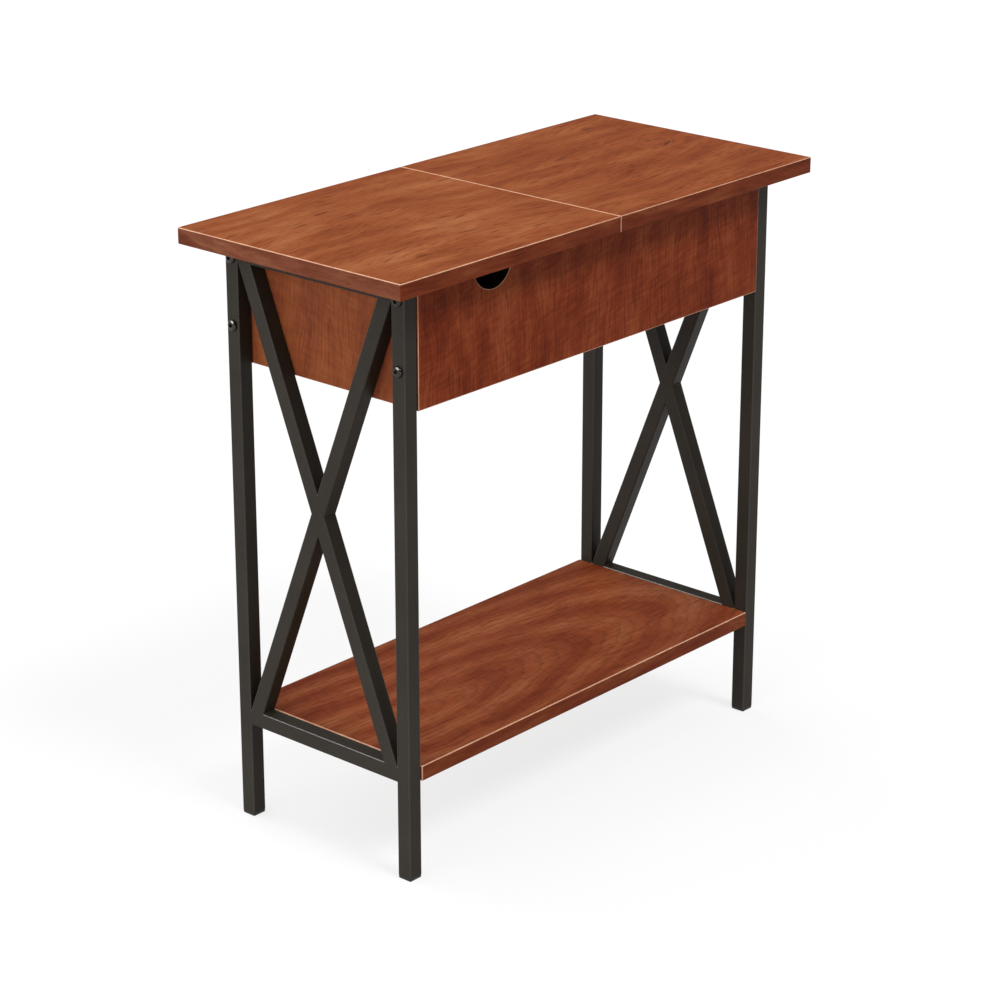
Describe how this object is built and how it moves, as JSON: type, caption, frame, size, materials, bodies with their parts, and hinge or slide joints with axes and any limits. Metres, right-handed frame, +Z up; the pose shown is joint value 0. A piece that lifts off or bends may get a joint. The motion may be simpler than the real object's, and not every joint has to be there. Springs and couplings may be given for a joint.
{
  "type": "flip-top end table",
  "caption": "Narrow end table with a hinged half top over a storage box, a lower shelf and steel end frames with crossed braces.",
  "frame": {"origin": "on the floor under the middle of the top", "axes": "+X along the length of the top towards its fixed half, +Y towards the hinge side at the back, +Z up"},
  "size_m": [0.6096, 0.2858, 0.6096],
  "materials": {
    "cherry_top": "satin cherry laminate, grain along the length",
    "cherry_panel": "satin cherry laminate, grain upright",
    "powder_coat": "charcoal powder coat on steel tube",
    "black_nickel": "black nickel plate",
    "zinc_plate": "bright zinc plate",
    "black_plastic": "moulded black plastic"
  },
  "bodies": {
    "table": {"fixed_top": "cherry_top", "shelf": "cherry_top", "front_panel": "cherry_panel", "back_panel": "cherry_panel", "left_side_panel": "cherry_panel", "right_side_panel": "cherry_panel", "box_floor": "cherry_panel", "left_front_leg": "powder_coat", "left_back_leg": "powder_coat", "left_upper_rail": "powder_coat", "left_lower_rail": "powder_coat", "left_long_brace": "powder_coat", "left_upper_half_brace": "powder_coat", "left_lower_half_brace": "powder_coat", "left_front_glide": "black_plastic", "left_front_shelf_screw": "zinc_plate", "top_bracket_front_left": "zinc_plate", "left_front_upper_bolt": "black_nickel", "left_front_upper_barrel_nut": "zinc_plate", "left_front_lower_bolt": "black_nickel", "left_front_lower_barrel_nut": "zinc_plate", "left_back_glide": "black_plastic", "left_back_shelf_screw": "zinc_plate", "top_bracket_back_left": "zinc_plate", "left_back_upper_bolt": "black_nickel", "left_back_upper_barrel_nut": "zinc_plate", "left_back_lower_bolt": "black_nickel", "left_back_lower_barrel_nut": "zinc_plate", "left_hinge_box_leaf": "zinc_plate", "left_hinge_pin": "zinc_plate", "right_front_leg": "powder_coat", "right_back_leg": "powder_coat", "right_upper_rail": "powder_coat", "right_lower_rail": "powder_coat", "right_long_brace": "powder_coat", "right_upper_half_brace": "powder_coat", "right_lower_half_brace": "powder_coat", "right_front_glide": "black_plastic", "right_front_shelf_screw": "zinc_plate", "top_bracket_front_right": "zinc_plate", "right_front_upper_bolt": "black_nickel", "right_front_upper_barrel_nut": "zinc_plate", "right_front_lower_bolt": "black_nickel", "right_front_lower_barrel_nut": "zinc_plate", "right_back_glide": "black_plastic", "right_back_shelf_screw": "zinc_plate", "top_bracket_back_right": "zinc_plate", "right_back_upper_bolt": "black_nickel", "right_back_upper_barrel_nut": "zinc_plate", "right_back_lower_bolt": "black_nickel", "right_back_lower_barrel_nut": "zinc_plate", "right_hinge_box_leaf": "zinc_plate", "right_hinge_pin": "zinc_plate"},
    "lid": {"lid_panel": "cherry_top", "left_hinge_lid_leaf": "zinc_plate", "right_hinge_lid_leaf": "zinc_plate"}
  },
  "joints": [
    {"name": "lid_hinge", "type": "hinge", "parent": "table", "child": "lid", "pos_m": [-0.1524, 0.11908, 0.5906], "axis": [-1, 0, 0], "range_deg": [0, 100]}
  ]
}
